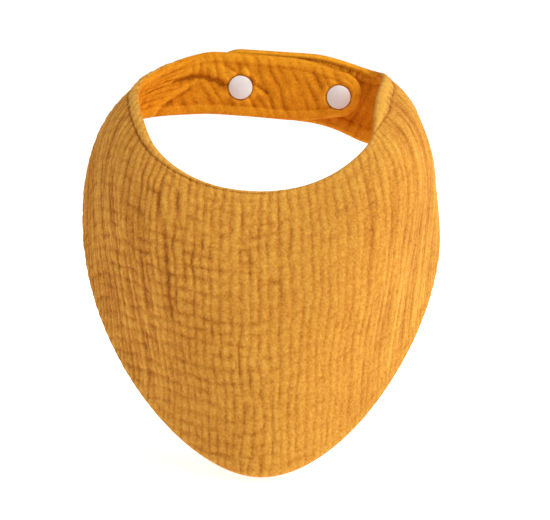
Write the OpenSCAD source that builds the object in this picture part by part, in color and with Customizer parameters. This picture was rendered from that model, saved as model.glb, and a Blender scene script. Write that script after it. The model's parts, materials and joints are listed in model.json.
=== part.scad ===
// Bandana bib in double gauze, standing in the shape it has around a neck.
// The straps overlap at the back of the neck and close with two press snaps.
// The origin is the centre of the neck opening, at the height of the snaps.
// +Z is up, -Y is the front and +X is the right-hand side seen from the front.

/* [Neck opening] */
// Width of the neck opening, side to side
neck_w = 130; // [110:1:160]
// Depth of the neck opening, front to back
neck_d = 92; // [78:1:112]
// How far the front of the neckline hangs below the snaps
neck_dip = 40; // [30:1:50]

/* [Front] */
// Height of the front, from the neckline to the tip
front_h = 133; // [105:1:165]
// How far the tip stands out in front of the neckline
tip_reach = 38; // [25:1:50]
// Width across the widest part of the hem
hem_w = 181; // [160:1:220]
// How far the widest part of the hem hangs below the snaps, left side
hem_side_left = 62; // [50:1:75]
// How far the widest part of the hem hangs below the snaps, right side
hem_side_right = 72; // [60:1:86]

/* [Fabric] */
// Thickness of one layer of double gauze
cloth_t = 1.1; // [0.8:0.05:1.4]
// Thickness of the absorbent middle layer
middle_t = 0.5; // [0.4:0.05:0.7]
// Diameter of the sewing thread
thread_d = 0.44; // [0.3:0.02:0.54]
// Distance from a finished edge to the seam beside it
seam_inset = 2; // [1.5:0.1:2.4]

/* [Straps] */
// Width of the inner strap before it tapers
strap_w = 33; // [27:0.5:40]
// Radius of the inner strap's round end
inner_end_r = 12; // [9.5:0.5:14.5]
// Radius of the outer strap's round end
outer_end_r = 17; // [14:0.5:20.5]
// Downward slope of the overlap towards the right, in degrees
overlap_slope = 5.7; // [0:0.1:8]
// Distance from the left snap to the fold at the inner strap's root
inner_fold = 15; // [12.5:0.5:18]
// Distance from the right snap to the fold at the outer strap's root
outer_fold = 13.2; // [11:0.2:16]

/* [Snaps] */
// Distance between the two snaps
snap_pitch = 52; // [42:1:64]
// Diameter of a snap's cap
cap_d = 12.4; // [10.2:0.1:15]
// Height of a cap's dome
cap_h = 1.9; // [1.5:0.1:2.4]
// Diameter of the post that goes through the fabric
post_d = 3; // [2.4:0.1:3.4]
// Diameter of the stud's base
stud_d = 10.4; // [8.6:0.1:12.5]
// Thickness of the stud's base
stud_base_h = 1.3; // [1.1:0.1:1.6]
// Diameter of the stud's nub
nub_d = 3.5; // [2.9:0.1:4.2]
// Height of the stud's nub
nub_h = 1.7; // [1.4:0.1:2]
// Diameter of the socket's base
socket_d = 10.6; // [8.8:0.1:12.7]
// Height of the socket
socket_h = 2.2; // [2:0.1:2.7]

/* [Hidden] */
// Fits
layer_gap = 0.1;
post_gap = 0.1;
nub_side_gap = 0.5;
nub_end_gap = 0.4;
snap_gap = 0.3;
fold_clear = 0.4;
seam_clear = 0.3;
butt_gap = 0.05;

// Fabric stack, measured from the middle of the strap outwards
middle_space = middle_t + layer_gap;
cloth_in = middle_space / 2;
cloth_out = cloth_in + cloth_t;
middle_inset = seam_inset + thread_d / 2 + seam_clear;

// Folds: a round knuckle as thick as the strap, and a gap in the next piece
knuckle_r = cloth_out;
fold_gap = knuckle_r + fold_clear;

// Positions along the overlap, from its middle: left is negative
snap_u = snap_pitch / 2;
inner_root = -snap_u - inner_fold;
outer_root = snap_u + outer_fold;
overlap_x = 14.5;
inner_y = neck_d / 2;
outer_y = inner_y + 2 * cloth_out + stud_base_h + snap_gap + socket_h;

// Strap shapes: rise of the centre line over the snaps, and the outer strap's spread at its root
inner_crown = 1.6;
crown_run = 60;
outer_crown = 2.6;
outer_sink = 6.2;
sink_start = 10;
sink_run = 29;
outer_spread = 2.2;
taper_power = 1.6;

// Snap details
cap_rim_r = 0.5;
socket_base_h = 1;
socket_ring_wall = 1.5;
socket_ring_d = nub_d + 2 * (nub_side_gap + socket_ring_wall);
seat_share = 0.75;
post_seat = stud_base_h * seat_share;
chamfer = 0.35;
cut_past = 1;

// Fineness of the fabric: ribs between two knots, cells down a rib, steps along and round a strap
steps = 20;
cells = 10;
ribs = 4 * steps;
strap_step = 4;
end_steps = 36;
thread_end_steps = 12;
thread_sides = 6;

// Knots of the neckline and the hem: inner root, left side, front, right side, outer root
inner_start = inner_root - fold_gap;
outer_start = outer_root + fold_gap;
neck_left_y = 7.8;
neck_left_z = 3.3;
neck_right_y = 5.9;
neck_right_z = 4;
hem_left_y = 0.7;
hem_right_y = 6.4;
neck_knots = [
    zone(inner_start, strap_top(0, inner_start), inner_y),
    [-neck_w / 2, neck_left_y, neck_left_z],
    [0, -neck_d / 2, -neck_dip],
    [neck_w / 2, neck_right_y, neck_right_z],
    zone(outer_start, strap_top(1, outer_start), outer_y)
];
hem_knots = [
    zone(inner_start, strap_bottom(0, inner_start), inner_y),
    [-hem_w / 2, hem_left_y, -hem_side_left],
    [0, -neck_d / 2 - tip_reach, -neck_dip - front_h],
    [hem_w / 2, hem_right_y, -hem_side_right],
    zone(outer_start, strap_bottom(1, outer_start), outer_y)
];
// Direction of each curve at its knots
neck_dirs = [[-1, 0, -0.13], [0, -1, -0.29], [1, 0, 0], [0, 1, 0.41], [-1, 0, 0.18]];
hem_dirs = [[-1, 0, -0.07], [0, -0.3, -1], [1, 0, 0], [0, 0.48, 1], [-1, 0, 0.36]];
// How long each curve holds its direction after a knot and before the next, as a share of the span
neck_hold = [[0.23, 0.40], [0.25, 0.55], [0.50, 0.29], [0.43, 0.10]];
hem_hold = [[0.39, 0.64], [0.39, 0.22], [0.27, 0.28], [0.82, 0.22]];
// How far the fabric leans out at the neckline and at the hem, as a slope at each knot
neck_flare = [0, 1.1, 0.65, 1.86, 0];
hem_flare = [0, 0.17, 0.1, 0.17, 0];
neck_reach = 0.365;
hem_reach = 0.36;

neck_spans = [for (i = [0:3]) span(neck_knots, neck_dirs, neck_hold, i)];
hem_spans = [for (i = [0:3]) span(hem_knots, hem_dirs, hem_hold, i)];
grid = [for (i = [0:ribs]) let (r = rib(i)) [for (j = [0:cells]) bezier(r, j / cells)]];
normals = [for (i = [0:ribs]) [for (j = [0:cells]) normal_at(i, j)]];

// ---------- curves ----------

function unit(v) = v / norm(v);

function bezier(p, t) =
    pow(1 - t, 3) * p[0] + 3 * pow(1 - t, 2) * t * p[1] + 3 * (1 - t) * t * t * p[2] + t * t * t * p[3];

function bezier_dir(p, t) =
    pow(1 - t, 2) * (p[1] - p[0]) + 2 * (1 - t) * t * (p[2] - p[1]) + t * t * (p[3] - p[2]);

function span(knots, dirs, hold, i) =
    let (a = knots[i], b = knots[i + 1], d = norm(b - a))
    [a, a + unit(dirs[i]) * d * hold[i][0], b - unit(dirs[i + 1]) * d * hold[i][1], b];

// The lean grows quickly from a strap and slowly between the sides and the front
function ease(k, t) = k == 0 ? 1 - pow(1 - t, 2) : k == 3 ? t * t : t * t * (3 - 2 * t);

function lean(v, k, t) = v[k] + (v[k + 1] - v[k]) * ease(k, t);

// One rib of the fabric, from the neckline down to the hem
function rib(i) =
    let (
        k = min(3, floor(i / steps)),
        t = i / steps - k,
        top = bezier(neck_spans[k], t),
        low = bezier(hem_spans[k], t),
        along = bezier_dir(neck_spans[k], t),
        out = unit([along[1], -along[0], 0]),
        down = [0, 0, -1],
        drop = norm(low - top),
        from = unit(out * lean(neck_flare, k, t) + down),
        to = unit(out * lean(hem_flare, k, t) + down)
    )
    [top, top + from * drop * neck_reach, low - to * drop * hem_reach, low];

function normal_at(i, j) =
    i == 0 || i == ribs
        ? [0, 1, 0]
        : let (
              du = grid[i + 1][j] - grid[i - 1][j],
              dv = grid[i][min(j + 1, cells)] - grid[i][max(j - 1, 0)]
          )
          unit(cross(dv, du));

// ---------- straps ----------

// A point of the overlap: u along it, w up across it, at depth y
function zone(u, w, y) =
    [
        overlap_x + u * cos(overlap_slope) + w * sin(overlap_slope),
        y,
        w * cos(overlap_slope) - u * sin(overlap_slope)
    ];

function strap_mid(s, u) =
    s == 0
        ? inner_crown * (1 - pow(u / crown_run, 2))
        : outer_crown - outer_sink * pow(max(0, u - sink_start) / sink_run, 2);

function strap_half(s, u) =
    s == 0
        ? strap_w / 2 - (strap_w / 2 - inner_end_r) * pow(max(0, min(1, u / snap_u)), taper_power)
        : outer_end_r + outer_spread * (u + snap_u) / (outer_root + snap_u);

function strap_top(s, u) = strap_mid(s, u) + strap_half(s, u);

function strap_bottom(s, u) = strap_mid(s, u) - strap_half(s, u);

function stops(a, b) =
    let (n = max(2, ceil(abs(b - a) / strap_step)))
    [for (i = [0:n]) a + (b - a) * i / n];

// Points along a strap's edge, from a place near its middle, round its end and back
function end_path(s, from, inset, turns) =
    let (
        side = s == 0 ? 1 : -1,
        tip = side * snap_u,
        mid = strap_mid(s, tip),
        r = strap_half(s, tip) - inset,
        run = stops(from, tip)
    )
    concat(
        [for (u = run) [u, strap_top(s, u) - inset]],
        [for (i = [1:turns - 1]) [tip + side * r * sin(i * 180 / turns), mid + r * cos(i * 180 / turns)]],
        [for (i = [len(run) - 1:-1:0]) [run[i], strap_bottom(s, run[i]) + inset]]
    );

// Outline of a strap between two places along it
module strap_outline(s, a, b, inset = 0) {
    polygon(concat(
        [for (u = stops(a, b)) [u, strap_top(s, u) - inset]],
        [for (u = stops(b, a)) [u, strap_bottom(s, u) + inset]]
    ));
}

// Outline of a strap's last stretch, from a place near its middle to its round end
module end_outline(s, from, inset = 0) {
    polygon(end_path(s, from, inset, end_steps));
}

// Puts something drawn in the strap's own plane (X along, Z across) in its place
module in_strap(s) {
    translate([overlap_x, s == 0 ? inner_y : outer_y, 0])
        rotate([0, overlap_slope, 0])
            children();
}

// Gives an outline a thickness, from low to high in Y
module layer(low, high) {
    translate([0, high, 0])
        rotate([90, 0, 0])
            linear_extrude(high - low)
                children();
}

// Round hole for the post of a snap
module post_hole(u) {
    translate([u, -cloth_out - cut_past, 0])
        rotate([-90, 0, 0])
            cylinder(d = post_d + 2 * post_gap, h = 2 * (cloth_out + cut_past), $fn = 48);
}

// Rounded fold at the root of a strap piece
module knuckle(s, u) {
    translate([u, 0, strap_bottom(s, u)])
        cylinder(r = knuckle_r, h = 2 * strap_half(s, u), $fn = 48);
}

// Cloth, lining or middle layer of a strap piece
module strap_piece(s, from, to, snap, low, high) {
    in_strap(s)
        difference() {
            layer(low, high)
                strap_outline(s, min(from, to), max(from, to));
            post_hole(snap);
        }
}

// ---------- curved fabric ----------

// A layer of the curved fabric between two distances from its middle, rows first to last
module fabric(low, high, first, last) {
    n = last - first + 1;
    size = (ribs + 1) * n;
    points = [
        for (d = [high, low]) for (i = [0:ribs]) for (j = [first:last])
            grid[i][j] + normals[i][j] * d
    ];
    face = function (i, j) i * n + j;
    quads = concat(
        [for (i = [0:ribs - 1]) for (j = [0:n - 2])
            [face(i, j), face(i + 1, j), face(i + 1, j + 1), face(i, j + 1)]],
        [for (i = [0:ribs - 1]) for (j = [0:n - 2])
            [size + face(i, j), size + face(i, j + 1), size + face(i + 1, j + 1), size + face(i + 1, j)]],
        [for (i = [0:ribs - 1])
            [face(i + 1, 0), face(i, 0), size + face(i, 0), size + face(i + 1, 0)]],
        [for (i = [0:ribs - 1])
            [face(i, n - 1), face(i + 1, n - 1), size + face(i + 1, n - 1), size + face(i, n - 1)]],
        [for (j = [0:n - 2])
            [face(0, j), face(0, j + 1), size + face(0, j + 1), size + face(0, j)]],
        [for (j = [0:n - 2])
            [face(ribs, j + 1), face(ribs, j), size + face(ribs, j), size + face(ribs, j + 1)]]
    );
    polyhedron(points, [for (q = quads) for (t = [[0, 1, 2], [0, 2, 3]]) [q[t[0]], q[t[1]], q[t[2]]]]);
}

// A run of thread along a path; facing holds a direction across the path at each point
module thread(path, facing) {
    sides = thread_sides;
    last = len(path) - 1;
    points = [
        for (i = [0:last])
            let (
                run = unit(path[min(i + 1, last)] - path[max(i - 1, 0)]),
                side = unit(cross(run, facing[i])),
                up = cross(side, run)
            )
            for (k = [0:sides - 1])
                path[i] + (up * cos(k * 360 / sides) + side * sin(k * 360 / sides)) * thread_d / 2
    ];
    at = function (i, k) i * sides + k % sides;
    walls = [
        for (i = [0:last - 1]) for (k = [0:sides - 1])
            for (t = [[at(i, k), at(i, k + 1), at(i + 1, k + 1)], [at(i, k), at(i + 1, k + 1), at(i + 1, k)]])
                t
    ];
    start = [for (k = [0:sides - 1]) at(0, sides - 1 - k)];
    finish = [for (k = [0:sides - 1]) at(last, k)];
    polyhedron(points, concat(walls, [start, finish]));
}

// Thread beside the neckline (edge = 0) or the hem (edge = cells)
module body_seam(edge) {
    next = edge == 0 ? 1 : cells - 1;
    thread(
        [for (i = [0:ribs])
            grid[i][edge] + unit(grid[i][next] - grid[i][edge]) * seam_inset],
        [for (i = [0:ribs]) normals[i][edge]]
    );
}

// Thread along a strap piece, above and below
module strap_seam(s, from, to) {
    run = stops(from, to);
    in_strap(s) {
        thread([for (u = run) [u, 0, strap_top(s, u) - seam_inset]], [for (u = run) [0, 1, 0]]);
        thread([for (u = run) [u, 0, strap_bottom(s, u) + seam_inset]], [for (u = run) [0, 1, 0]]);
    }
}

// Thread around a strap's round end
module end_seam(s, from) {
    path = [for (p = end_path(s, from, seam_inset, thread_end_steps)) [p[0], 0, p[1]]];
    in_strap(s)
        thread(path, [for (p = path) [0, 1, 0]]);
}

// ---------- snaps ----------

// Turns a snap piece drawn upwards so that it faces +Y or -Y on a strap
module on_strap(s, u, offset, facing) {
    in_strap(s)
        translate([u, offset, 0])
            rotate([facing > 0 ? -90 : 90, 0, 0])
                children();
}

// Domed cap on the fabric, with its post going down through it
module cap() {
    flat_r = cap_d / 2 - cap_rim_r;
    rise = cap_h - 2 * cap_rim_r;
    dome_r = (flat_r * flat_r + rise * rise) / (2 * rise);
    color("white") {
        rotate_extrude($fn = 96) {
            square([flat_r, 2 * cap_rim_r]);
            translate([flat_r, cap_rim_r])
                intersection() {
                    circle(r = cap_rim_r, $fn = 48);
                    translate([0, -cap_rim_r])
                        square([cap_rim_r, 2 * cap_rim_r]);
                }
            intersection() {
                translate([0, cap_h - dome_r])
                    circle(r = dome_r, $fn = 360);
                square([flat_r, cap_h]);
            }
        }
        translate([0, 0, -2 * cloth_out - post_seat])
            cylinder(d = post_d, h = 2 * cloth_out + post_seat, $fn = 48);
    }
}

// The outer strap's post is shorter: it stops inside the socket's floor
module socket_cap() {
    floor_h = socket_h - nub_h + snap_gap - nub_end_gap;
    difference() {
        cap();
        translate([0, 0, -2 * cloth_out - post_seat - cut_past])
            cylinder(d = post_d + cut_past, h = post_seat + cut_past - floor_h, $fn = 48);
    }
}

module stud() {
    r = stud_d / 2;
    n = nub_d / 2;
    top = stud_base_h + nub_h;
    color("white")
        difference() {
            rotate_extrude($fn = 96)
                polygon([
                    [0, 0],
                    [r, 0],
                    [r, stud_base_h - chamfer],
                    [r - chamfer, stud_base_h],
                    [n, stud_base_h],
                    [n, top - chamfer],
                    [n - chamfer, top],
                    [0, top]
                ]);
            translate([0, 0, -cut_past])
                cylinder(d = post_d + 2 * post_gap, h = cut_past + post_seat + post_gap, $fn = 48);
        }
}

module socket() {
    r = socket_d / 2;
    ring = socket_ring_d / 2;
    mouth = nub_d / 2 + nub_side_gap;
    depth = nub_h - snap_gap + nub_end_gap;
    color("white")
        difference() {
            rotate_extrude($fn = 96)
                polygon([
                    [0, 0],
                    [r, 0],
                    [r, socket_base_h - chamfer],
                    [r - chamfer, socket_base_h],
                    [ring, socket_base_h],
                    [ring, socket_h - chamfer],
                    [ring - chamfer, socket_h],
                    [0, socket_h]
                ]);
            translate([0, 0, socket_h - depth])
                cylinder(r = mouth, h = depth + cut_past, $fn = 64);
            translate([0, 0, -cut_past])
                cylinder(d = post_d + 2 * post_gap, h = socket_h, $fn = 48);
        }
}

// ---------- body of the bib ----------

module outer_cloth() {
    color("goldenrod")
        fabric(cloth_in, cloth_out, 0, cells);
}

module lining() {
    color("darkgoldenrod")
        fabric(-cloth_out, -cloth_in, 0, cells);
}

module middle_layer() {
    color("moccasin")
        fabric(-middle_t / 2, middle_t / 2, 1, cells - 1);
}

module neck_seam() {
    color("orange")
        body_seam(0);
}

module hem_seam() {
    color("orange")
        body_seam(cells);
}

// ---------- inner strap, from the left ----------

module inner_strap_cloth() {
    color("goldenrod") {
        strap_piece(0, inner_root, -fold_gap, -snap_u, cloth_in, cloth_out);
        in_strap(0)
            knuckle(0, inner_root);
    }
}

module inner_strap_lining() {
    color("darkgoldenrod")
        strap_piece(0, inner_root + knuckle_r + butt_gap, -fold_gap, -snap_u, -cloth_out, -cloth_in);
}

module inner_strap_middle() {
    color("moccasin")
        in_strap(0)
            difference() {
                layer(-middle_t / 2, middle_t / 2)
                    strap_outline(0, inner_root + knuckle_r + butt_gap, -fold_gap, middle_inset);
                post_hole(-snap_u);
            }
}

module inner_strap_seam() {
    color("orange")
        strap_seam(0, inner_root + knuckle_r + butt_gap, -fold_gap);
}

module left_stud() {
    on_strap(0, -snap_u, cloth_out, 1)
        stud();
}

module left_stud_cap() {
    on_strap(0, -snap_u, -cloth_out, -1)
        cap();
}

// ---------- inner strap's end ----------

module inner_end_cloth() {
    color("goldenrod")
        in_strap(0) {
            difference() {
                layer(cloth_in, cloth_out)
                    end_outline(0, 0);
                post_hole(snap_u);
            }
            knuckle(0, 0);
        }
}

module inner_end_lining() {
    color("darkgoldenrod")
        in_strap(0)
            difference() {
                layer(-cloth_out, -cloth_in)
                    end_outline(0, knuckle_r + butt_gap);
                post_hole(snap_u);
            }
}

module inner_end_middle() {
    color("moccasin")
        in_strap(0)
            difference() {
                layer(-middle_t / 2, middle_t / 2)
                    end_outline(0, knuckle_r + butt_gap, middle_inset);
                post_hole(snap_u);
            }
}

module inner_end_seam() {
    color("orange")
        end_seam(0, knuckle_r + butt_gap);
}

module right_stud() {
    on_strap(0, snap_u, cloth_out, 1)
        stud();
}

module right_stud_cap() {
    on_strap(0, snap_u, -cloth_out, -1)
        cap();
}

// ---------- outer strap, from the right ----------

module outer_strap_cloth() {
    color("goldenrod") {
        strap_piece(1, outer_root, fold_gap, snap_u, cloth_in, cloth_out);
        in_strap(1)
            knuckle(1, outer_root);
    }
}

module outer_strap_lining() {
    color("darkgoldenrod")
        strap_piece(1, outer_root - knuckle_r - butt_gap, fold_gap, snap_u, -cloth_out, -cloth_in);
}

module outer_strap_middle() {
    color("moccasin")
        in_strap(1)
            difference() {
                layer(-middle_t / 2, middle_t / 2)
                    strap_outline(1, fold_gap, outer_root - knuckle_r - butt_gap, middle_inset);
                post_hole(snap_u);
            }
}

module outer_strap_seam() {
    color("orange")
        strap_seam(1, outer_root - knuckle_r - butt_gap, fold_gap);
}

module right_socket() {
    on_strap(1, snap_u, -cloth_out, -1)
        socket();
}

module right_socket_cap() {
    on_strap(1, snap_u, cloth_out, 1)
        socket_cap();
}

// ---------- outer strap's end ----------

module outer_end_cloth() {
    color("goldenrod")
        in_strap(1) {
            difference() {
                layer(cloth_in, cloth_out)
                    end_outline(1, 0);
                post_hole(-snap_u);
            }
            knuckle(1, 0);
        }
}

module outer_end_lining() {
    color("darkgoldenrod")
        in_strap(1)
            difference() {
                layer(-cloth_out, -cloth_in)
                    end_outline(1, -knuckle_r - butt_gap);
                post_hole(-snap_u);
            }
}

module outer_end_middle() {
    color("moccasin")
        in_strap(1)
            difference() {
                layer(-middle_t / 2, middle_t / 2)
                    end_outline(1, -knuckle_r - butt_gap, middle_inset);
                post_hole(-snap_u);
            }
}

module outer_end_seam() {
    color("orange")
        end_seam(1, -knuckle_r - butt_gap);
}

module left_socket() {
    on_strap(1, -snap_u, -cloth_out, -1)
        socket();
}

module left_socket_cap() {
    on_strap(1, -snap_u, cloth_out, 1)
        socket_cap();
}

outer_cloth();
lining();
middle_layer();
neck_seam();
hem_seam();
inner_strap_cloth();
inner_strap_lining();
inner_strap_middle();
inner_strap_seam();
left_stud();
left_stud_cap();
inner_end_cloth();
inner_end_lining();
inner_end_middle();
inner_end_seam();
right_stud();
right_stud_cap();
outer_strap_cloth();
outer_strap_lining();
outer_strap_middle();
outer_strap_seam();
right_socket();
right_socket_cap();
outer_end_cloth();
outer_end_lining();
outer_end_middle();
outer_end_seam();
left_socket();
left_socket_cap();
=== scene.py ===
"""Bandana bib in crinkled double gauze: the looks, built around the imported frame.

Lengths are in millimetres until a mesh is made. u runs along the overlap of the straps, from its
middle to the right; w runs up across it. A column is one line across the fabric, from the neckline
to the hem; the columns run from the inner strap's end, round the neck, to the outer strap's end.
"""

import json
import math

import bpy
import numpy as np
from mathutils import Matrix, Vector


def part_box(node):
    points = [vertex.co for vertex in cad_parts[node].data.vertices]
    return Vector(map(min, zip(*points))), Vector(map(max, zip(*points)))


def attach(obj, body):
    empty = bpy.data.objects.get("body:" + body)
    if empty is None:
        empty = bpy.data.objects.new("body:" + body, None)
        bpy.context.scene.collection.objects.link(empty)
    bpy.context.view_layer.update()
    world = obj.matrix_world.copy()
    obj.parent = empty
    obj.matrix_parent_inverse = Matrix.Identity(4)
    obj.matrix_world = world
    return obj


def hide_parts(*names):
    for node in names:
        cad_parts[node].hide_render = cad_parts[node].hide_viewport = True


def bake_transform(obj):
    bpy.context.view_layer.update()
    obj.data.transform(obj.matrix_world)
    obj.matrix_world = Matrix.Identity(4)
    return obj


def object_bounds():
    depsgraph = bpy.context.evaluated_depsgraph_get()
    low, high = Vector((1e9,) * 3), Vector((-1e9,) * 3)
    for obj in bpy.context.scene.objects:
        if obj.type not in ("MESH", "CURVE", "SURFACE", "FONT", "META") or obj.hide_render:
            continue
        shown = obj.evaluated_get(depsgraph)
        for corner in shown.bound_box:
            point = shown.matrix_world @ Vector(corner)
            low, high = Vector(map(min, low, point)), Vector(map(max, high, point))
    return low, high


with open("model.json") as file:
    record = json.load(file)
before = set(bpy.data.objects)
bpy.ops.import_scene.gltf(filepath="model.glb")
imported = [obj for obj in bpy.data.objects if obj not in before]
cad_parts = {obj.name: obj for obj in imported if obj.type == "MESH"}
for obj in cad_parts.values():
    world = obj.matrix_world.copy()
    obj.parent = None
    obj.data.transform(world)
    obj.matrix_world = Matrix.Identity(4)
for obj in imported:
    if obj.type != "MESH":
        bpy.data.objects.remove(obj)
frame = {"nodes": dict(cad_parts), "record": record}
CAD_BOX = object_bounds()
MM = 0.001

# ---------- places, from the frame ----------

JOINTS = {j["name"]: j for j in frame["record"]["behaviour"]["joints"]}


def joint_at(name):
    return np.array(JOINTS[name]["pos_m"]) / MM


def box_mm(node):
    low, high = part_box(node)
    return np.array(low) / MM, np.array(high) / MM


def middle_of(node):
    low, high = box_mm(node)
    return (low + high) / 2


SLOPE_SIN = -JOINTS["inner_end_peel"]["axis"][0]
SLOPE_COS = -JOINTS["inner_end_peel"]["axis"][2]
INNER_FOLD = joint_at("inner_end_peel")
OUTER_FOLD = joint_at("outer_end_peel")
INNER_Y = INNER_FOLD[1]
OUTER_Y = OUTER_FOLD[1]
OVERLAP_X = INNER_FOLD[0]
INNER_ROOT = -np.linalg.norm(joint_at("inner_strap_peel") - INNER_FOLD)
OUTER_ROOT = np.linalg.norm(joint_at("outer_strap_peel") - OUTER_FOLD)
SNAP_U = np.linalg.norm(middle_of("right_stud") - middle_of("left_stud")) / 2
stack_low, stack_high = box_mm("inner_end_cloth")
HALF_STACK = (stack_high[1] - stack_low[1]) / 2
cloth_low = box_mm("outer_cloth")[0]
cap_low, cap_high = box_mm("left_stud_cap")
CAP_R = (cap_high[0] - cap_low[0]) / 2

# ---------- the fabric's shape: the same curves as the solids ----------

FOLD_GAP = HALF_STACK + 0.4
INNER_START = INNER_ROOT - FOLD_GAP
OUTER_START = OUTER_ROOT + FOLD_GAP
STRAP_W = 33.0
INNER_END_R = 12.0
OUTER_END_R = 17.0
OUTER_SPREAD = 2.2
NECK_W = 130.0
NECK_DIP = 40.0
HEM_SIDE = (62.0, 72.0)
HEM_W = 181.0
TIP_BACK = 1.4
TIP_RISE = 0.2
TIP = np.array([0.0, cloth_low[1] + TIP_BACK, cloth_low[2] + TIP_RISE])

NECK_DIRS = [(-1, 0, -0.13), (0, -1, -0.29), (1, 0, 0), (0, 1, 0.41), (-1, 0, 0.18)]
HEM_DIRS = [(-1, 0, -0.07), (0, -0.3, -1), (1, 0, 0), (0, 0.48, 1), (-1, 0, 0.36)]
NECK_HOLD = [(0.23, 0.40), (0.25, 0.55), (0.50, 0.29), (0.43, 0.10)]
HEM_HOLD = [(0.39, 0.64), (0.39, 0.22), (0.27, 0.28), (0.82, 0.22)]
NECK_FLARE = [0, 1.1, 0.65, 1.86, 0]
HEM_FLARE = [0, 0.17, 0.1, 0.17, 0]
NECK_REACH = 0.365
HEM_REACH = 0.36


def strap_mid(s, u):
    if s == 0:
        return 1.6 * (1 - (u / 60) ** 2)
    return 2.6 - 6.2 * (np.maximum(0, u - 10) / 29) ** 2


def strap_half(s, u):
    if s == 0:
        taper = np.clip(u / SNAP_U, 0, 1) ** 1.6
        return STRAP_W / 2 - (STRAP_W / 2 - INNER_END_R) * taper
    return OUTER_END_R + OUTER_SPREAD * (u + SNAP_U) / (OUTER_ROOT + SNAP_U)


def zone(u, w, y):
    u, w = np.broadcast_arrays(np.asarray(u, float), np.asarray(w, float))
    x = OVERLAP_X + u * SLOPE_COS + w * SLOPE_SIN
    z = w * SLOPE_COS - u * SLOPE_SIN
    return np.stack([x, np.full(x.shape, float(y)), z], -1)


def unit(v):
    return v / np.linalg.norm(v, axis=-1, keepdims=True)


def bezier(p, t):
    t = np.asarray(t, float)[..., None]
    s = 1 - t
    return s**3 * p[0] + 3 * s * s * t * p[1] + 3 * s * t * t * p[2] + t**3 * p[3]


def bezier_dir(p, t):
    t = np.asarray(t, float)[..., None]
    s = 1 - t
    return s * s * (p[1] - p[0]) + 2 * s * t * (p[2] - p[1]) + t * t * (p[3] - p[2])


def spans(knots, dirs, hold):
    out = []
    for i in range(len(knots) - 1):
        a, b = np.array(knots[i], float), np.array(knots[i + 1], float)
        d = np.linalg.norm(b - a)
        from_a = a + unit(np.array(dirs[i], float)) * d * hold[i][0]
        to_b = b - unit(np.array(dirs[i + 1], float)) * d * hold[i][1]
        out.append((a, from_a, to_b, b))
    return out


def strap_edge(s, u, y, sign):
    return zone(u, strap_mid(s, u) + sign * strap_half(s, u), y)


NECK = spans(
    [
        strap_edge(0, INNER_START, INNER_Y, 1),
        (-NECK_W / 2, 7.8, 3.3),
        (0, -INNER_Y, -NECK_DIP),
        (NECK_W / 2, 5.9, 4),
        strap_edge(1, OUTER_START, OUTER_Y, 1),
    ],
    NECK_DIRS,
    NECK_HOLD,
)
HEM = spans(
    [
        strap_edge(0, INNER_START, INNER_Y, -1),
        (-HEM_W / 2, 0.7, -HEM_SIDE[0]),
        TIP,
        (HEM_W / 2, 6.4, -HEM_SIDE[1]),
        strap_edge(1, OUTER_START, OUTER_Y, -1),
    ],
    HEM_DIRS,
    HEM_HOLD,
)


def lean(values, k, t):
    ease = 1 - (1 - t) ** 2 if k == 0 else t * t if k == 3 else t * t * (3 - 2 * t)
    return values[k] + (values[k + 1] - values[k]) * ease


def rib(s):
    """Control points of the line across the fabric at s, from 0 at the inner strap to 4."""
    k = min(3, int(s))
    t = s - k
    top, low = bezier(NECK[k], t), bezier(HEM[k], t)
    along = bezier_dir(NECK[k], t)
    out = unit(np.array([along[1], -along[0], 0]))
    down = np.array([0, 0, -1.0])
    drop = np.linalg.norm(low - top)
    first = top + unit(out * lean(NECK_FLARE, k, t) + down) * drop * NECK_REACH
    last = low - unit(out * lean(HEM_FLARE, k, t) + down) * drop * HEM_REACH
    return top, first, last, low


# ---------- noise ----------

rng = np.random.RandomState(7)
LATTICE = 256
GRADIENT = rng.uniform(0, 2 * math.pi, (LATTICE, LATTICE))


def noise(x, y, layer=0):
    """Smooth noise between about -1 and 1, with features about one unit across."""
    x = x + layer * 37.31
    y = y + layer * 71.77
    xi, yi = np.floor(x).astype(int), np.floor(y).astype(int)
    fx, fy = x - xi, y - yi
    sx, sy = fx**3 * (fx * (6 * fx - 15) + 10), fy**3 * (fy * (6 * fy - 15) + 10)

    def corner(dx, dy):
        angle = GRADIENT[(xi + dx) % LATTICE, (yi + dy) % LATTICE]
        return np.cos(angle) * (fx - dx) + np.sin(angle) * (fy - dy)

    top = corner(0, 0) * (1 - sx) + corner(1, 0) * sx
    low = corner(0, 1) * (1 - sx) + corner(1, 1) * sx
    return 1.5 * (top * (1 - sy) + low * sy)


def smooth(x, low, high):
    t = np.clip((x - low) / (high - low), 0, 1)
    return t * t * (3 - 2 * t)


COLUMN_PITCH = 4.4
ROW_PITCH = 5.9


def crinkle(x, y, layer=0):
    """Height of the gauze's puckers, about 0 in a crease and 1 on a puff. x is across the grain."""
    wander_x = x + 1.9 * noise(x / 18, y / 26, layer + 1) + 0.65 * noise(x / 5, y / 7, layer + 2)
    wander_y = y + 1.3 * noise(x / 13, y / 17, layer + 3) + 0.7 * noise(x / 4, y / 4, layer + 4)
    upright = np.abs(np.sin(math.pi * wander_x / COLUMN_PITCH)) ** 0.55
    level = np.abs(np.sin(math.pi * (wander_y - 0.12 * x) / ROW_PITCH)) ** 0.5
    depth_up = np.clip(0.70 + 0.46 * noise(x / 5, y / 11, layer + 5), 0.15, 1.0)
    squarer = smooth(-x, -30, 35) * smooth(-y, 5, 60)
    depth_level = np.clip(0.26 + 0.34 * squarer + 0.6 * noise(x / 9, y / 6, layer + 6), 0, 0.9)
    height = 1 - depth_up * (1 - upright)
    height *= 1 - depth_level * (1 - level)
    height += 0.15 * noise(x / 3.1, y / 3.7, layer + 9)
    height += 0.13 * noise(x / 1.7, y / 2.3, layer + 7) + 0.08 * noise(x / 0.9, y / 1.1, layer + 8)
    return height


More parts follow.
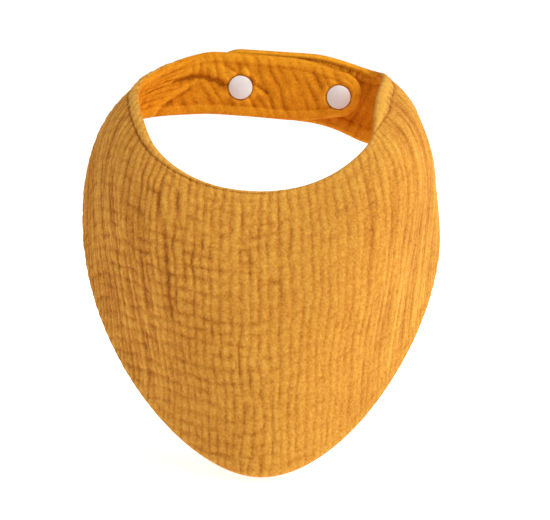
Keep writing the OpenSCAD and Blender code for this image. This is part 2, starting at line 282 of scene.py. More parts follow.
# ---------- the sheet of columns ----------

BODY_COLUMNS = 600
STRAP_STEP = 0.8
EDGE_ROWS = np.array([0, 0.05, 0.2, 0.45, 0.8, 1.25, 1.8, 2.4, 3, 3.5, 4, 4.4, 4.8, 5.2, 5.6, 6, 6.5, 7.2])
INSIDE_ROWS = 131


def across(length):
    """Distances of the rows from the neckline, close together at both edges."""
    inside = np.linspace(EDGE_ROWS[-1], length - EDGE_ROWS[-1], INSIDE_ROWS)[1:-1]
    return np.concatenate([EDGE_ROWS, inside, length - EDGE_ROWS[::-1]])


def body_stations():
    """Places of the body's columns, even along the mean of the neckline and the hem."""
    s = np.linspace(0, 4, 1601)
    ends = [rib(v) for v in s]
    top, low = np.array([r[0] for r in ends]), np.array([r[3] for r in ends])
    step = 0.3 * np.linalg.norm(np.diff(top, axis=0), axis=1)
    step += 0.7 * np.linalg.norm(np.diff(low, axis=0), axis=1)
    run = np.concatenate([[0], np.cumsum(step)])
    return np.interp(np.linspace(0, run[-1], BODY_COLUMNS), run, s)


def body_columns():
    points, lengths = [], []
    fine = np.linspace(0, 1, 121)
    for s in body_stations():
        line = bezier(rib(s), fine)
        run = np.concatenate([[0], np.cumsum(np.linalg.norm(np.diff(line, axis=0), axis=1))])
        rows = across(run[-1])
        points.append(np.stack([np.interp(rows, run, line[:, a]) for a in range(3)], -1))
        lengths.append(run[-1])
    return np.array(points), np.array(lengths)


def strap_columns(s, stations, y):
    points, lengths = [], []
    for u in stations:
        length = 2 * strap_half(s, u)
        w = strap_mid(s, u) + strap_half(s, u) - across(length)
        points.append(zone(u, w, y))
        lengths.append(length)
    return np.array(points), np.array(lengths)


def stations(a, b):
    return np.linspace(a, b, int(abs(b - a) / STRAP_STEP) + 1)


inner_u = stations(SNAP_U, INNER_START)[:-1]
outer_u = stations(OUTER_START, -SNAP_U)[1:]
inner_points, inner_lengths = strap_columns(0, inner_u, INNER_Y)
body_points, body_lengths = body_columns()
outer_points, outer_lengths = strap_columns(1, outer_u, OUTER_Y)
POINTS = np.concatenate([inner_points, body_points, outer_points])
LENGTHS = np.concatenate([inner_lengths, body_lengths, outer_lengths])
COLUMNS, ROWS = POINTS.shape[:2]
BODY_FIRST = len(inner_u)
BODY_LAST = BODY_FIRST + BODY_COLUMNS - 1
FROM_NECK = np.stack([across(v) for v in LENGTHS])


def front_column():
    """The body's column nearest to the middle of the front."""
    return BODY_FIRST + int(np.argmin(np.abs(POINTS[BODY_FIRST : BODY_LAST + 1, 0, 0])))


def neck_run():
    """Distance of every column along the neckline from the front's middle, negative to the left."""
    steps = np.linalg.norm(np.diff(POINTS[:, 0], axis=0), axis=1)
    run = np.concatenate([[0], np.cumsum(steps)])
    return (run - run[front_column()])[:, None] * np.ones((1, ROWS))


ROOT_COLUMNS = 14
ROOT_PASSES = 60
EASE_COLUMNS = 13
EASE_DEPTH = 22
SHOULDER_SAG = np.array([-1.0, 0, -1.8])
RIGHT_ROLL = 6.5
LEFT_ROLL = 2.6
ROLL_DROP = 0.22
ROLL_DEPTH = 16


def soften_roots():
    """Rounds the turn from the body into each strap."""
    columns = np.arange(COLUMNS)
    for root in (BODY_FIRST, BODY_LAST):
        near = np.exp(-(((columns - root) / ROOT_COLUMNS) ** 4))[:, None, None]
        for _ in range(ROOT_PASSES):
            moved = POINTS.copy()
            moved[1:-1] = (POINTS[:-2] + 2 * POINTS[1:-1] + POINTS[2:]) / 4
            POINTS[:] = POINTS + (moved - POINTS) * near


def ease_right_corner():
    """Evens out the neckline where the outer strap leaves the body."""
    rim = POINTS[:, 0]
    apart = (np.arange(COLUMNS)[:, None] - np.arange(COLUMNS)[None, :]) / EASE_COLUMNS
    share = np.exp(-0.5 * apart**2)
    even = share @ rim / share.sum(axis=1, keepdims=True)
    near = np.exp(-(((np.arange(COLUMNS) - BODY_LAST) / (2.4 * EASE_COLUMNS)) ** 4))
    lean = (even - rim) * near[:, None]
    POINTS[:] = POINTS + lean[:, None] * (1 - smooth(FROM_NECK, 0, EASE_DEPTH))[..., None]


def sag_right_shoulder():
    """Lets the cloth sink a little at the right-hand shoulder, where nothing holds it up."""
    share = smooth(ALONG, 66, 98) * (1 - smooth(ALONG, 104, 128)) * (1 - smooth(FROM_NECK, 10, 48))
    POINTS[:] = POINTS + share[..., None] * SHOULDER_SAG


def roll_neck():
    """Rolls the edge of the neckline inwards at the sides of the neck."""
    right = RIGHT_ROLL * smooth(ALONG, 58, 94) * (1 - smooth(ALONG, 98, 142))
    left = LEFT_ROLL * smooth(-ALONG, 55, 88) * (1 - smooth(-ALONG, 100, 132))
    inward = np.stack([-np.sign(POINTS[..., 0]), 0 * ALONG, 0 * ALONG - ROLL_DROP], -1)
    amount = (right + left) * (1 - smooth(FROM_NECK, 0, ROLL_DEPTH)) ** 1.2
    POINTS[:] = POINTS + inward * amount[..., None]
    steps = np.linalg.norm(np.diff(POINTS, axis=1), axis=-1)
    FROM_NECK[:, 1:] = np.cumsum(steps, axis=1)


soften_roots()
ease_right_corner()
ALONG = neck_run()
sag_right_shoulder()
roll_neck()
FROM_HEM = FROM_NECK[:, -1:] - FROM_NECK


def grid_normals(points):
    du = np.gradient(points, axis=0)
    dv = np.gradient(points, axis=1)
    n = np.cross(dv, du)
    return n / np.maximum(np.linalg.norm(n, axis=-1, keepdims=True), 1e-12)


NORMAL_ROW = 7


def middle_normals():
    normals = grid_normals(POINTS)
    # The first rows are very close together, so they take the normal of a row a little further in
    near = NORMAL_ROW
    normals[:, :near] = normals[:, near : near + 1]
    normals[:, -near:] = normals[:, -near - 1 : -near]
    normals[:BODY_FIRST] = (0, 1, 0)
    normals[BODY_LAST + 1 :] = (0, 1, 0)
    return unit(normals)


NORMALS = middle_normals()


def cut_pattern():
    """Where each point lay in the flat cloth: x across the grain, y along it, from the front's neckline."""
    top, low = POINTS[:, 0], POINTS[:, -1]
    place = np.zeros((COLUMNS, 2))
    turn = np.zeros(COLUMNS)
    for direction, last in ((1, BODY_LAST), (-1, BODY_FIRST)):
        c = front_column()
        while c != last:
            n = c + direction
            neck_step = np.linalg.norm(top[n] - top[c])
            hem_step = np.linalg.norm(low[n] - low[c])
            angle = (hem_step - neck_step) / ((LENGTHS[n] + LENGTHS[c]) / 2)
            turn[n] = turn[c] + direction * angle
            middle = (turn[n] + turn[c]) / 2
            place[n] = place[c] + direction * neck_step * np.array([math.cos(middle), math.sin(middle)])
            c = n
    down = np.stack([np.sin(turn), -np.cos(turn)], -1)
    pattern = place[:, None] + FROM_NECK[..., None] * down[:, None]
    return pattern, turn, place


PATTERN, TURN, PLACE = cut_pattern()


def strap_pattern(s, u, w):
    """Flat-cloth place of a point of a strap."""
    column, start = (BODY_FIRST, INNER_START) if s == 0 else (BODY_LAST, OUTER_START)
    direction = -1 if s == 0 else 1
    turn = TURN[column]
    along = np.array([math.cos(turn), math.sin(turn)]) * direction
    down = np.array([math.sin(turn), -math.cos(turn)])
    top = strap_mid(s, start) + strap_half(s, start)
    run = np.abs(u - start)[..., None]
    return PLACE[column] + run * along + (top - w)[..., None] * down


def strap_w(s, u, rows):
    return strap_mid(s, u)[:, None] + strap_half(s, u)[:, None] - rows


def reach_into_body(first):
    """Distance of each of the body's columns from the strap, along mid-height."""
    middle = POINTS[BODY_FIRST : BODY_LAST + 1, ROWS // 2]
    steps = np.linalg.norm(np.diff(middle, axis=0), axis=1)
    run = np.concatenate([[0], np.cumsum(steps)])
    return run if first else run[-1] - run


# Overlap coordinates of every grid point, carried on into the body from both straps
body = slice(BODY_FIRST, BODY_LAST + 1)
half_way = np.arange(BODY_COLUMNS) <= BODY_COLUMNS // 2
U = np.zeros((COLUMNS, ROWS))
W = np.zeros((COLUMNS, ROWS))
U[:BODY_FIRST] = inner_u[:, None]
W[:BODY_FIRST] = strap_w(0, inner_u, FROM_NECK[:BODY_FIRST])
U[BODY_LAST + 1 :] = outer_u[:, None]
W[BODY_LAST + 1 :] = strap_w(1, outer_u, FROM_NECK[BODY_LAST + 1 :])
into_body = np.where(half_way, INNER_START - reach_into_body(True), OUTER_START + reach_into_body(False))
U[body] = into_body[:, None]
roots = np.where(
    half_way,
    strap_mid(0, INNER_START) + strap_half(0, INNER_START),
    strap_mid(1, OUTER_START) + strap_half(1, OUTER_START),
)
W[body] = roots[:, None] - FROM_NECK[body]
PATTERN[:BODY_FIRST] = strap_pattern(0, U[:BODY_FIRST], W[:BODY_FIRST])
PATTERN[BODY_LAST + 1 :] = strap_pattern(1, U[BODY_LAST + 1 :], W[BODY_LAST + 1 :])

# ---------- thickness, puckers and seams ----------

EDGE_ROUND = 1.7
BASE = 1.35
PUFF = 1.05
PRESSED = HALF_STACK - 0.05
THINNEST = 0.45
ALLOWANCE_BULK = 0.36
SIDE_DRAPE = 0.6


def edge_profile(d):
    """Share of the full thickness at a distance d from a finished edge."""
    t = np.clip(d / EDGE_ROUND, 0, 1)
    return np.sqrt(np.clip(1 - (1 - t) ** 2, 0, 1))


def seam_place(along):
    """Distance of the joining seam from the neckline: positive on the outside, negative on the lining."""
    left = 1.1 * smooth(-along, -35, 0) + 4.3 * smooth(-along, 18, 92)
    right = 7.4 * smooth(along, 66, 100) * (1 - smooth(along, 118, 140)) - 4.2 * smooth(along, 138, 150)
    return 0.6 + left + right


def groove(d, at, width):
    return np.exp(-(((d - at) / width) ** 2))


def snap_effect(height, u, w):
    """Presses the cloth flat under a snap and lets it rise in a ring and in small folds around it."""
    for place in (-SNAP_U, SNAP_U):
        r = np.hypot(u - place, w)
        angle = np.arctan2(w, u - place)
        fold = 0.5 * np.cos(5 * angle + 1.1 + place) + 0.5 * np.cos(8 * angle + 2.3)
        height = height + 0.4 * fold * smooth(r, 6, 9) * (1 - smooth(r, 9, 15))
        height = height + 0.7 * np.exp(-(((r - CAP_R - 1.6) / 1.4) ** 2))
        height = PRESSED + (height - PRESSED) * smooth(r, CAP_R - 0.4, CAP_R + 0.9)
    return height


def path_gap(u, w, path):
    """Distance of each point from a bent line."""
    best = np.full(u.shape, 1e9)
    for (u0, w0), (u1, w1) in zip(path, path[1:]):
        du, dw = u1 - u0, w1 - w0
        t = np.clip(((u - u0) * du + (w - w0) * dw) / (du * du + dw * dw), 0, 1)
        best = np.minimum(best, np.hypot(u - u0 - t * du, w - w0 - t * dw))
    return best


# Folds and ridges of the inner strap's lining: a line in u and w, its depth and its width
STRAP_FOLDS = [
    ([(-64, 2.2), (-55, 3.9), (-48, 4.1), (-41, 2.6), (-35, 1.1), (-32, 0.3)], 1.1, 1.5),
    ([(-35, 10.5), (-31.5, 8.8), (-28.5, 7.2)], 0.6, 1.0),
    ([(-21.5, 5.4), (-17.4, 1.3), (-12.3, -1.6)], 0.75, 1.1),
    ([(-52.5, -3.5), (-59.5, -11), (-64, -18)], 0.7, 1.6),
]
STRAP_RIDGES = [
    ([(-66, 7), (-55, 9.5), (-47, 9.5), (-38, 8)], 0.5, 3.2),
    ([(-54.5, -2), (-61.8, -9.5), (-66.4, -17)], 0.8, 1.9),
]
# Long creases of the front, placed in x and z, with their depth and width
FRONT_CREASES = [
    ([(-50.6, -42), (-45.3, -66), (-43.9, -86), (-42, -98)], 0.6, 1.5),
    ([(-59, -48), (-56.7, -80), (-54.5, -96)], 0.4, 1.3),
    ([(-41.1, -40), (-37.8, -62), (-35.9, -80)], 0.3, 1.1),
    ([(-66, -60), (-64.5, -85), (-62, -98)], 0.35, 1.2),
    ([(-9, -62), (-6, -70), (-5, -80)], 0.4, 0.9),
]
RIDGE_LEAN = math.radians(62)
RIDGE_PITCH = 5.2


def strap_relief(u, w, right, layer):
    """Puckers of a strap: long soft ridges that lean across it, mirrored on the other strap."""
    lean_way = np.where(right, -1, 1)
    across_ridges = u * math.sin(RIDGE_LEAN) + lean_way * w * math.cos(RIDGE_LEAN)
    along_ridges = lean_way * w * math.sin(RIDGE_LEAN) - u * math.cos(RIDGE_LEAN)
    wander = across_ridges + 1.8 * noise(across_ridges / 9, along_ridges / 14, layer + 41)
    ridge = np.abs(np.sin(math.pi * wander / RIDGE_PITCH)) ** 0.8
    depth = np.clip(0.62 + 0.6 * noise(across_ridges / 7, along_ridges / 12, layer + 42), 0.05, 1)
    height = 1 - depth * (1 - ridge)
    height += 0.28 * noise(across_ridges / 4, along_ridges / 6, layer + 43)
    height += 0.13 * noise(u / 1.7, w / 2.3, layer + 7) + 0.08 * noise(u / 0.9, w / 1.1, layer + 8)
    return height


def allowance_width(face, along):
    """Width of the turned-in seam allowance, wider on the lining at the right-hand corner."""
    return 5.6 + 2.5 * smooth(along, 85, 110) * (face < 0)


def height_of(face, from_neck, from_hem, pattern, along, u, w, right, points):
    """Height of one face over the cloth's middle, its shade, and how far each point is from the seam.

    face is 1 outside and -1 on the lining; points is None on a round end, where no front crease reaches.
    """
    edge = np.minimum(from_neck, from_hem)
    layer = 0 if face > 0 else 20
    strap_share = np.where(
        right,
        1 - smooth(u, OUTER_START + 2, OUTER_START + 28),
        smooth(u, INNER_START - 28, INNER_START - 2),
    )
    body_relief = crinkle(pattern[..., 0], pattern[..., 1], layer)
    relief = body_relief + (strap_relief(u, w, right, layer) - body_relief) * strap_share
    calm = 1 - (0.45 if face < 0 else 0.2) * (1 - smooth(edge, 1.0, 6.0))
    strength = 0.98 - 0.34 * smooth(pattern[..., 0], -25, 60)
    strength = strength + 0.22 * noise(pattern[..., 0] / 40, pattern[..., 1] / 40, 11)
    strength = strength + (0.8 - strength) * strap_share
    height = BASE + PUFF * calm * strength * (relief - 0.72)
    if face > 0:
        at_side = smooth(np.abs(pattern[..., 0]), 30, 75)
        drape = noise(pattern[..., 0] / 5.5, pattern[..., 1] / 45, 51) * at_side
        height = height + SIDE_DRAPE * drape * (1 - strap_share) * smooth(edge, 4, 14)
    allowance = allowance_width(face, along)
    bulk = ALLOWANCE_BULK if face < 0 else ALLOWANCE_BULK * 0.3
    height = height + bulk * (1 - smooth(edge, allowance - 1.4, allowance)) * smooth(edge, 0.3, 1.6)
    height = height - 0.6 * bulk * groove(edge, allowance + 0.1, 0.9)
    seam = seam_place(along) * face
    shown = smooth(seam, 0.8, 2.0)
    pucker = 0.8 + 0.5 * noise(along / 1.6, from_neck / 3, 31)
    height = height - 0.6 * shown * pucker * groove(from_neck, np.abs(seam), 0.6)
    roll = groove(from_neck, np.abs(seam) * 0.5, np.maximum(1.4, np.abs(seam) * 0.35))
    height = height + 0.55 * shown * roll
    if face < 0:
        for path, depth, width in STRAP_FOLDS:
            height = height - depth * np.exp(-((path_gap(u, w, path) / width) ** 2)) * ~right
        for path, rise, width in STRAP_RIDGES:
            height = height + rise * np.exp(-((path_gap(u, w, path) / width) ** 2)) * ~right
    elif points is not None:
        for path, depth, width in FRONT_CREASES:
            gap = path_gap(points[..., 0], points[..., 2], path)
            height = height - depth * np.exp(-((gap / width) ** 2)) * (points[..., 1] < 0)
    height = snap_effect(height, u, w)
    seam_gap = np.where(shown > 0.05, np.abs(from_neck - np.abs(seam)) + 0.35 * (1 - shown), 9.0)
    height = np.maximum(height, THINNEST)
    # Painted shade: the colour follows this height, darker in the creases and lighter on the puffs, and a
    # painted shadow ring is cut in round each snap cap
    shade = height
    for place in (-SNAP_U, SNAP_U):
        shade = shade - 0.8 * groove(np.hypot(u - place, w), CAP_R + 0.2, 0.7)
    return face * height * edge_profile(edge), shade, seam_gap


# ---------- meshes ----------


def quads(index):
    a, b = index[:-1, :-1], index[1:, :-1]
    c, d = index[1:, 1:], index[:-1, 1:]
    return np.stack([a, b, c, d], -1).reshape(-1, 4)


def rows_kept(step):
    near = NORMAL_ROW
    return np.array([r for r in range(ROWS) if r % step == 0 or r < near or r >= ROWS - near])


class Face:
    """The outside (1) or the lining (-1) of the whole bib, as one grid that is then cut into pieces."""

    def __init__(self, face, row_step):
        self.face = face
        self.rows = rows_kept(row_step)
        right = np.arange(COLUMNS)[:, None] > (BODY_FIRST + BODY_LAST) / 2
        # relief here is the painted shade from height_of: the height, with a painted shadow ring round each
        # snap cap
        offset, relief, seam = height_of(face, FROM_NECK, FROM_HEM, PATTERN, ALONG, U, W, right, POINTS)
        full = POINTS + NORMALS * offset[..., None]
        normals = grid_normals(full) * face
        normals[:, 0] = unit(POINTS[:, 0] - POINTS[:, 3])
        normals[:, -1] = unit(POINTS[:, -1] - POINTS[:, -4])
        self.points = full[:, self.rows]
        self.normals = normals[:, self.rows]
        self.looks = np.stack([relief, seam, ALONG], -1)[:, self.rows]

    def round_end(self, right):
        """The round end of a strap, as spokes from its edge to the snap."""
        tip, side, y = (-SNAP_U, -1, OUTER_Y) if right else (SNAP_U, 1, INNER_Y)
        column = COLUMNS - 1 if right else 0
        middle = float(strap_mid(int(right), np.array(tip)))
        radius = float(strap_half(int(right), np.array(tip)))
        depths = FROM_NECK[column][: ROWS // 2 + 1]
        angles = np.linspace(0, math.pi, 73)
        reach = (radius - depths)[None, :]
        u = tip + side * np.sin(angles)[:, None] * reach
        w = middle + np.cos(angles)[:, None] * reach
        d = np.broadcast_to(depths, u.shape)
        far = np.full(u.shape, 99.0)
        right_of = np.full(u.shape, right)
        along = ALONG[column, 0] + (1 if right else -1) * radius * angles[:, None] + 0 * u
        pattern = strap_pattern(int(right), u, w)
        # relief here is the painted shade from height_of: the height, with a painted shadow ring round each
        # snap cap
        offset, relief, seam = height_of(self.face, d, far, pattern, along, u, w, right_of, None)
        points = zone(u, w, y) + np.array([0, 1.0, 0]) * offset[..., None]
        normals = np.cross(np.gradient(points, axis=0), np.gradient(points, axis=1))
        normals *= np.sign(normals[..., 1:2] * self.face + 1e-12)
        normals[:, -1] = (0, self.face, 0)
        normals /= np.maximum(np.linalg.norm(normals, axis=-1, keepdims=True), 1e-12)
        rim = zone(tip + side * np.sin(angles), middle + np.cos(angles), y) - zone(tip, middle, y)
        normals[:, 0] = rim
        kept = self.rows[self.rows <= ROWS // 2]
        looks = np.stack([relief, seam, along], -1)
        return points[:, kept], normals[:, kept], looks[:, kept]

    def piece(self, name, first, last, end=None):
        """The columns from first to last, with the round end of the left strap ("left") or the right."""
        points = self.points[first : last + 1]
        index = np.arange(points.shape[0] * points.shape[1]).reshape(points.shape[:2])
        faces = [quads(index)]
        points = points.reshape(-1, 3)
        normals = self.normals[first : last + 1].reshape(-1, 3)
        looks = self.looks[first : last + 1].reshape(-1, 3)
        if end:
            right = end == "right"
            more, more_normals, more_looks = self.round_end(right)
            rim = index[-1] if right else index[0]
            half = len(rim) // 2
            extra = len(points) + np.arange(more.shape[0] * more.shape[1]).reshape(more.shape[:2])
            extra[0] = rim[: half + 1]
            extra[-1] = rim[::-1][: half + 1]
            extra[:, -1] = rim[half]
            faces.append(quads(extra if right else extra[::-1]))
            points = np.concatenate([points, more.reshape(-1, 3)])
            normals = np.concatenate([normals, more_normals.reshape(-1, 3)])
            looks = np.concatenate([looks, more_looks.reshape(-1, 3)])
        faces = np.concatenate(faces)
        if self.face > 0:
            faces = faces[:, ::-1]
        return mesh_object(name, points, faces, normals, looks)


def mesh_object(name, points, faces, normals, looks):
    used = np.unique(faces)
    new_index = np.full(len(points), -1)
    new_index[used] = np.arange(len(used))
    faces = new_index[faces]
    loops = [list(dict.fromkeys(f)) for f in faces.tolist()]
    loops = [f for f in loops if len(f) > 2]
    mesh = bpy.data.meshes.new(name)
    mesh.from_pydata((points[used] * MM).tolist(), [], loops)
    mesh.update()
    mesh.polygons.foreach_set("use_smooth", [True] * len(mesh.polygons))
    # The relief attribute carries the painted shade of the creases and the painted shadow rings round the
    # snap caps
    for i, word in enumerate(("relief", "seam_gap", "along_neck")):
        attribute = mesh.attributes.new(word, "FLOAT", "POINT")
        attribute.data.foreach_set("value", looks[used, i].astype(np.float32))
    mesh.normals_split_custom_set_from_vertices(normals[used].tolist())
    obj = bpy.data.objects.new(name, mesh)
    bpy.context.scene.collection.objects.link(obj)
    return obj


# ---------- materials ----------


class Nodes:
    """A short way of writing a material's nodes."""

    def __init__(self, name):
        self.material = bpy.data.materials.new(name)
        self.material.use_nodes = True
        self.tree = self.material.node_tree
        self.shader = self.tree.nodes["Principled BSDF"]

    def add(self, kind, inputs=None, **settings):
        node = self.tree.nodes.new(kind)
        for key, value in settings.items():
            setattr(node, key, value)
        for key, value in (inputs or {}).items():
            self.put(node.inputs[key], value)
        return node

    def put(self, socket, value):
        if isinstance(value, bpy.types.NodeSocket):
            self.tree.links.new(value, socket)
        else:
            socket.default_value = value

    def math(self, operation, a, b=0.0):
        return self.add("ShaderNodeMath", {0: a, 1: b}, operation=operation).outputs[0]

    def fade(self, value, low, high):
        """1 below low, 0 above high."""
        inputs = {"Value": value, "From Min": low, "From Max": high, "To Min": 1.0, "To Max": 0.0}
        return self.add("ShaderNodeMapRange", inputs).outputs[0]

    def ramp(self, value, stops):
        node = self.add("ShaderNodeValToRGB", {"Fac": value})
        ramp = node.color_ramp
        while len(ramp.elements) < len(stops):
            ramp.elements.new(0.5)
        for element, (place, colour) in zip(ramp.elements, stops):
            element.position = place
            element.color = (*colour, 1)
        return node.outputs["Color"]


STITCH = 1.7


def gauze_material(name, deep, mid, light, sheen, gloss):
    n = Nodes(name)
    place = n.add("ShaderNodeTexCoord").outputs["Object"]
    # Painted shade and painted highlight: the ramp puts the deep colour in the creases and the light colour
    # on the puffs, with random tone from the blotch and grain noise
    relief = n.add("ShaderNodeAttribute", attribute_name="relief").outputs["Fac"]
    share = n.add(
        "ShaderNodeMapRange",
        {"Value": relief, "From Min": 0.55, "From Max": 1.9, "To Min": 0.0, "To Max": 1.0},
    ).outputs[0]
    blotch = n.add("ShaderNodeTexNoise", {"Vector": place, "Scale": 45.0, "Detail": 4.0}).outputs["Fac"]
    grain = n.add("ShaderNodeTexNoise", {"Vector": place, "Scale": 850.0, "Detail": 3.0}).outputs["Fac"]
    crease_shade_and_tone = n.math("ADD", n.math("MULTIPLY", share, 0.80), n.math("MULTIPLY", blotch, 0.30))
    crease_shade_and_tone = n.math("ADD", crease_shade_and_tone, n.math("MULTIPLY", n.math("SUBTRACT", grain, 0.5), 1.0))
    colour = n.ramp(crease_shade_and_tone, [(0.05, deep), (0.55, mid), (1.0, light)])
    gap = n.math("ABSOLUTE", n.add("ShaderNodeAttribute", attribute_name="seam_gap").outputs["Fac"])
    along = n.add("ShaderNodeAttribute", attribute_name="along_neck").outputs["Fac"]
    line = n.fade(gap, 0.12, 0.42)
    stitch = n.math("SINE", n.math("MULTIPLY", along, 2 * math.pi / STITCH))
    ticks = n.math("MULTIPLY", n.fade(gap, 0.5, 1.0), n.math("SUBTRACT", 1.0, n.fade(stitch, 0.1, 0.7)))
    sewn = n.math("MAXIMUM", n.math("MULTIPLY", line, 0.75), n.math("MULTIPLY", ticks, 0.45))
    colour = n.add(
        "ShaderNodeMix", {0: sewn, 6: colour, 7: (*deep, 1)}, data_type="RGBA"
    ).outputs[2]
    threads = {"Vector": place, "Scale": 700.0, "Distortion": 2.5, "Detail": 2.0, "Detail Scale": 3.0}
    warp = n.add("ShaderNodeTexWave", threads, bands_direction="X").outputs["Fac"]
    weft = n.add("ShaderNodeTexWave", threads, bands_direction="Z").outputs["Fac"]
    weave = n.math("ADD", n.math("MULTIPLY", warp, 0.5), n.math("MULTIPLY", weft, 0.5))
    fuzz = n.math("ADD", n.math("MULTIPLY", weave, 0.5), n.math("MULTIPLY", grain, 0.9))
    bump = n.add("ShaderNodeBump", {"Height": fuzz, "Strength": 0.6, "Distance": 0.0004})
    n.put(n.shader.inputs["Base Color"], colour)
    n.put(n.shader.inputs["Normal"], bump.outputs["Normal"])
    n.put(n.shader.inputs["Roughness"], 0.92)
    n.put(n.shader.inputs["Specular IOR Level"], gloss)
    n.put(n.shader.inputs["Sheen Weight"], sheen)
    n.put(n.shader.inputs["Sheen Roughness"], 0.5)
    n.put(n.shader.inputs["Sheen Tint"], (1.0, 0.83, 0.52, 1.0))
    return n.material


def snap_material(name):
    n = Nodes(name)
    place = n.add("ShaderNodeTexCoord").outputs["Object"]
    cloud = n.add("ShaderNodeTexNoise", {"Vector": place, "Scale": 120.0, "Detail": 3.0}).outputs["Fac"]
    colour = n.ramp(cloud, [(0.3, (0.76, 0.74, 0.80)), (0.7, (0.82, 0.805, 0.87))])
    fine = n.add("ShaderNodeTexNoise", {"Vector": place, "Scale": 1400.0, "Detail": 2.0}).outputs["Fac"]
    bump = n.add("ShaderNodeBump", {"Height": fine, "Strength": 0.12, "Distance": 0.0001})
    rough = n.add(
        "ShaderNodeMapRange", {"Value": cloud, "To Min": 0.32, "To Max": 0.42}
    ).outputs[0]
    n.put(n.shader.inputs["Base Color"], colour)
    n.put(n.shader.inputs["Roughness"], rough)
    n.put(n.shader.inputs["Normal"], bump.outputs["Normal"])
    n.put(n.shader.inputs["Subsurface Weight"], 0.12)
    n.put(n.shader.inputs["Subsurface Scale"], 0.001)
    return n.material


# Ramp stops: deep is painted shade in the creases, mid the gauze's colour, light a painted highlight on the
# puffs
GAUZE_COLOURS = ((0.29, 0.085, 0.007), (0.57, 0.222, 0.027), (0.75, 0.380, 0.060))
# The lining is the same gauze, given a more saturated orange as painted bounce light and shade inside the
# straps
LINING_COLOURS_WITH_PAINTED_BOUNCE = ((0.34, 0.085, 0.002), (0.66, 0.215, 0.006), (0.84, 0.34, 0.016))
GAUZE = gauze_material("outer gauze", *GAUZE_COLOURS, 0.1, 0.15)
LINING = gauze_material("lining gauze", *LINING_COLOURS_WITH_PAINTED_BOUNCE, 0.04, 0.1)
PLASTIC = snap_material("white snap plastic")

# ---------- pieces ----------


def column_at(run, first):
    """The body's column at a distance from the strap at its first or last column, along mid-height."""
    inside = int((reach_into_body(first) < run).sum()) - 1
    return BODY_FIRST + inside if first else BODY_LAST - inside


SPLIT_U = 13.0
CUT_REACH = 7.0
CUT_LEFT = column_at(CUT_REACH, True)
CUT_RIGHT = column_at(CUT_REACH, False)
CUT_INNER = int(np.argmin(np.abs(inner_u + SPLIT_U)))
CUT_OUTER = BODY_LAST + 1 + int(np.argmin(np.abs(outer_u - SPLIT_U)))
LAST = COLUMNS - 1


def at(u, y):
    return tuple(float(v) * MM for v in zone(u, 0, y))


def dress(face, word, material, layers):
    """Cuts one face into its pieces, gives each its material and hides the solids it stands for, and puts
    the bib's piece on the bib's body.
    """
    cut = {
        f"bib_{word}": (CUT_LEFT, CUT_RIGHT, None),
        f"inner_strap_{word}_piece": (CUT_INNER, CUT_LEFT, None),
        f"inner_end_{word}_piece": (0, CUT_INNER, "left"),
        f"outer_strap_{word}_piece": (CUT_RIGHT, CUT_OUTER, None),
        f"outer_end_{word}_piece": (CUT_OUTER, LAST, "right"),
    }
    made = []
    for (name, (first, last, end)), nodes in zip(cut.items(), layers):
        obj = face.piece(name, first, last, end)
        obj.data.materials.append(material)
        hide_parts(*nodes)
        made.append(obj)
    bib, inner_strap, inner_end, outer_strap, outer_end = made
    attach(bib, "bib")
    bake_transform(inner_strap)
    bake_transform(inner_end)
    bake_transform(outer_strap)
    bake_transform(outer_end)
    return made


STRAPS = ("inner_strap", "inner_end", "outer_strap", "outer_end")
outer_layers = [("outer_cloth", "neck_seam", "hem_seam")]
outer_layers += [(f"{s}_cloth", f"{s}_seam") for s in STRAPS]
lining_layers = [("lining", "middle_layer")]
lining_layers += [(f"{s}_lining", f"{s}_middle") for s in STRAPS]
outer_pieces = dress(Face(1, 1), "gauze", GAUZE, outer_layers)
lining_pieces = dress(Face(-1, 2), "lining", LINING, lining_layers)

for side in ("left", "right"):
    for part in ("stud", "stud_cap", "socket", "socket_cap"):
        materials = frame["nodes"][f"{side}_{part}"].data.materials
        materials.clear()
        materials.append(PLASTIC)

# ---------- floor, light and camera ----------

FLOOR_DROP = 0.002
FLOOR_R = 60.0
FLOOR_SIDES = 96
EYE = (0.0068, -1.0034, 0.0950)
TILT = math.radians(10)


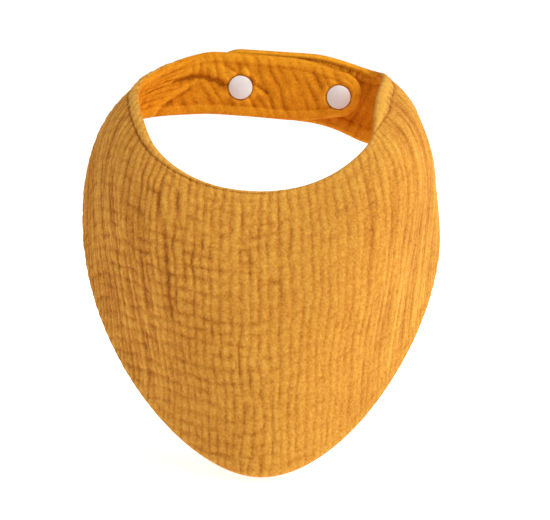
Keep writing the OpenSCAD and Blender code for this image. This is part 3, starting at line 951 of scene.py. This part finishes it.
def floor():
    """A pale floor, wide enough to fill every view."""
    z = CAD_BOX[0][2] - FLOOR_DROP
    turns = np.linspace(0, 2 * math.pi, FLOOR_SIDES + 1)[:-1]
    ring = [(FLOOR_R * math.cos(a), FLOOR_R * math.sin(a), z) for a in turns]
    mesh = bpy.data.meshes.new("floor")
    faces = [(0, i + 1, (i + 1) % FLOOR_SIDES + 1) for i in range(FLOOR_SIDES)]
    mesh.from_pydata([(0, 0, z)] + ring, [], faces)
    mesh.update()
    obj = bpy.data.objects.new("floor", mesh)
    bpy.context.scene.collection.objects.link(obj)
    n = Nodes("pale paper")
    place = n.add("ShaderNodeTexCoord").outputs["Object"]
    cloud = n.add("ShaderNodeTexNoise", {"Vector": place, "Scale": 3.0}).outputs["Fac"]
    pale = [(0.2, (0.93, 0.93, 0.93)), (0.8, (0.95, 0.95, 0.95))]
    n.put(n.shader.inputs["Base Color"], n.ramp(cloud, pale))
    n.put(n.shader.inputs["Roughness"], 1.0)
    n.put(n.shader.inputs["Specular IOR Level"], 0.0)
    n.put(n.shader.inputs["Emission Color"], (1.0, 1.0, 1.0, 1.0))
    n.put(n.shader.inputs["Emission Strength"], 0.80)
    obj.data.materials.append(n.material)


def area_light(name, place, target, size, power, colour=(1, 1, 1)):
    data = bpy.data.lights.new(name, "AREA")
    data.shape = "RECTANGLE"
    data.size, data.size_y = size
    data.energy = power
    data.color = colour
    obj = bpy.data.objects.new(name, data)
    obj.location = place
    direction = Vector(target) - Vector(place)
    obj.rotation_euler = direction.to_track_quat("-Z", "Y").to_euler()
    bpy.context.scene.collection.objects.link(obj)


def studio():
    world = bpy.data.worlds.new("pale studio")
    world.use_nodes = True
    background = world.node_tree.nodes["Background"]
    background.inputs["Color"].default_value = (1, 0.93, 0.84, 1)
    background.inputs["Strength"].default_value = 0.28
    bpy.context.scene.world = world
    centre = (0, 0, -0.06)
    area_light("right soft light", (1.0, -0.35, 0.66), centre, (0.5, 0.8), 11.9, (0.95, 1.0, 0.85))
    area_light("left soft light", (-1.0, -0.05, -0.45), centre, (0.4, 0.8), 5.8, (1.0, 0.80, 0.42))
    area_light("top soft light", (0.1, -0.3, 1.0), centre, (0.6, 0.6), 4.7)


def camera():
    data = bpy.data.cameras.new("camera")
    data.sensor_width = 36.0
    data.lens = 130.2
    data.clip_start = 0.05
    data.clip_end = 50
    obj = bpy.data.objects.new("camera", data)
    obj.location = EYE
    obj.rotation_euler = (math.pi / 2 - TILT, 0, 0)
    bpy.context.scene.collection.objects.link(obj)
    bpy.context.scene.camera = obj


floor()
studio()
camera()
bpy.context.scene.view_settings.view_transform = "Standard"
